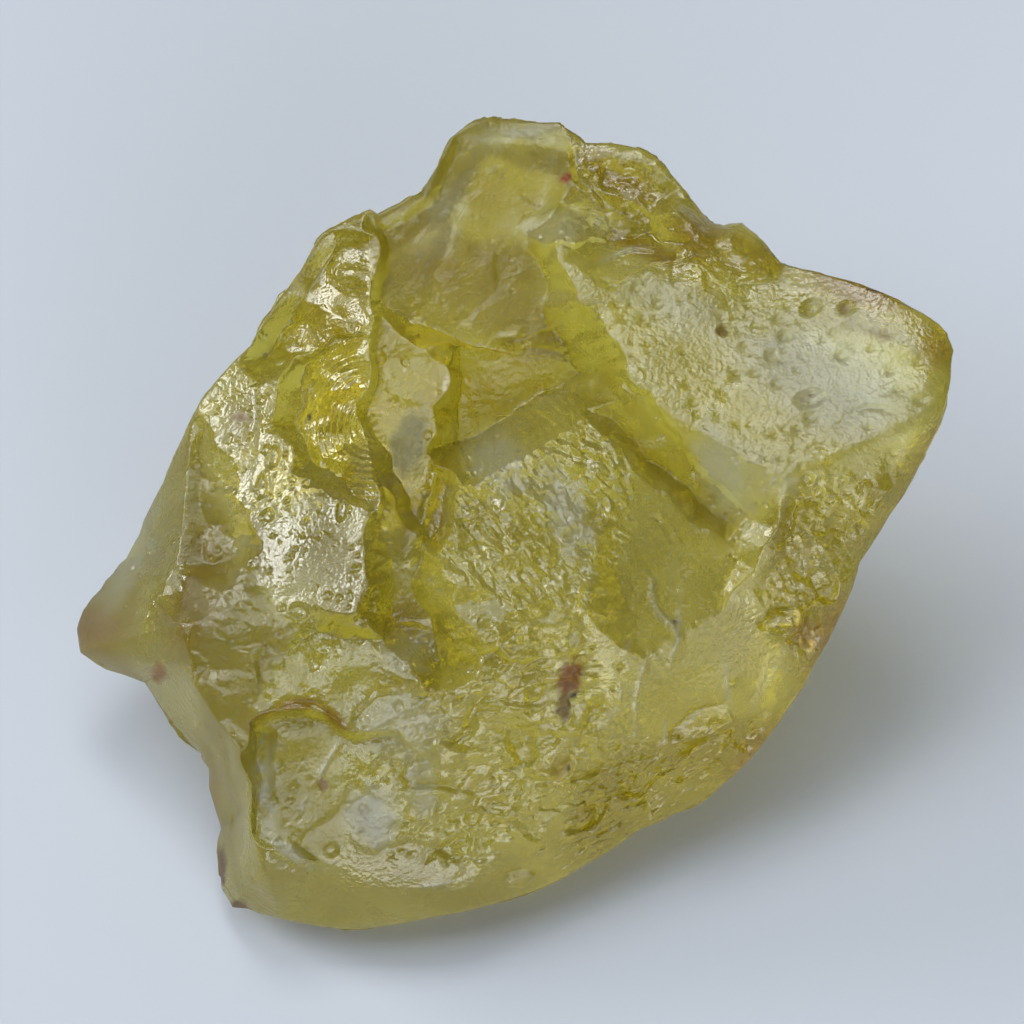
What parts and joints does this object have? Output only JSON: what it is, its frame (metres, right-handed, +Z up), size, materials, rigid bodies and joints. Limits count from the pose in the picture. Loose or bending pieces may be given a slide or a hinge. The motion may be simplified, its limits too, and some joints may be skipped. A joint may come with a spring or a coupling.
{
  "type": "rough topaz",
  "caption": "Rough olive-yellow topaz, one broken crystal piece with chipped, pitted and stepped fracture faces and a flat cleavage face to rest on.",
  "frame": {"origin": "middle of the bounding box, on the plane of the flat cleavage face that the stone rests on", "axes": "+Z up from the cleavage face, +X to the right along the longest side, -Y towards the broad, chipped side"},
  "size_m": [0.0437, 0.0352, 0.023],
  "materials": {
    "topaz": "waxy, glossy broken crystal, cloudy and translucent olive yellow, pitted, with a few brown iron stains"
  },
  "bodies": {
    "root": {"topaz": "topaz"}
  },
  "joints": []
}
